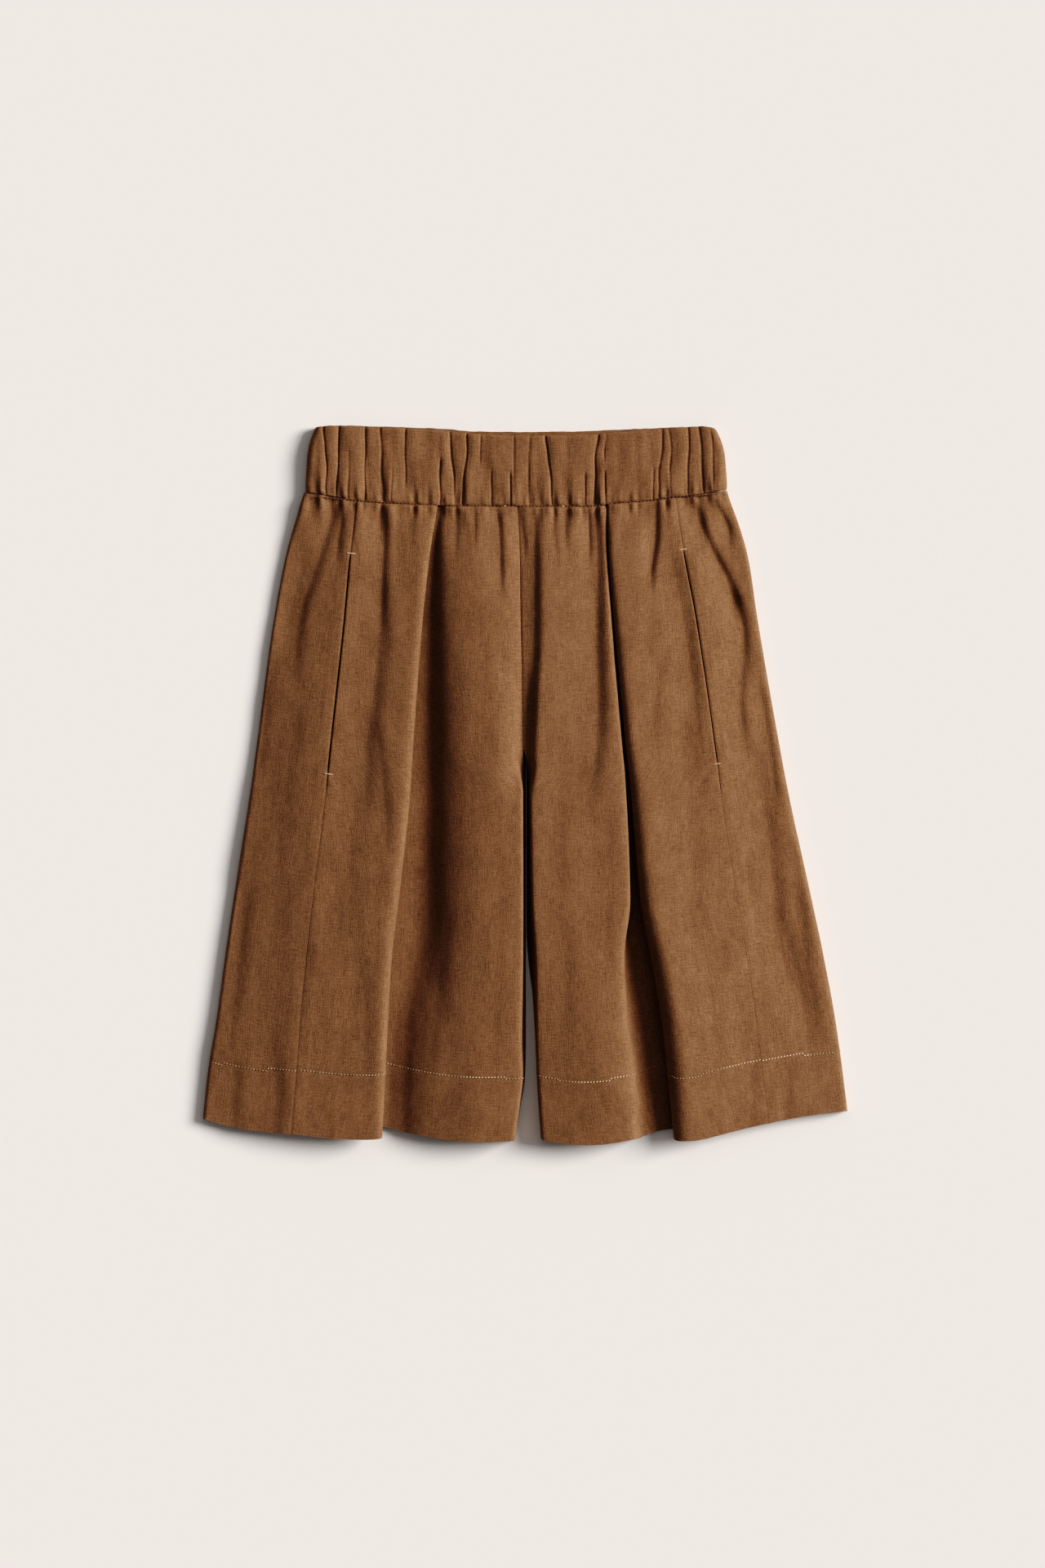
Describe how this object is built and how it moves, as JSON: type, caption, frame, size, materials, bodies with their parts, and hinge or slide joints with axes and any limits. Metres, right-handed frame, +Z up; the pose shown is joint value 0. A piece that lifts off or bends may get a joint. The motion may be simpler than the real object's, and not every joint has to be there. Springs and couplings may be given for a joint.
{
  "type": "bermuda shorts",
  "caption": "Wide linen bermuda shorts laid flat, with a gathered elastic waistband, a forward pleat in each front, side seam pockets and turned-up hems",
  "frame": {"origin": "centre of the underside of the garment's box, on the surface it lies on", "axes": "+Y runs from the hems to the waistband, +X to the wearer's left, +Z up out of the front"},
  "size_m": [0.4979, 0.5549, 0.0268],
  "materials": {
    "front_cloth": "matte brown linen, plain weave",
    "back_cloth": "matte brown linen, plain weave",
    "waistband_cloth": "matte brown linen, plain weave",
    "pocket_cloth": "matte brown linen, plain weave"
  },
  "bodies": {
    "root": {"front_right": "front_cloth", "back_right": "back_cloth", "waistband_right": "waistband_cloth", "pocket_right": "pocket_cloth", "front_left": "front_cloth", "back_left": "back_cloth", "waistband_left": "waistband_cloth", "pocket_left": "pocket_cloth"}
  },
  "joints": []
}
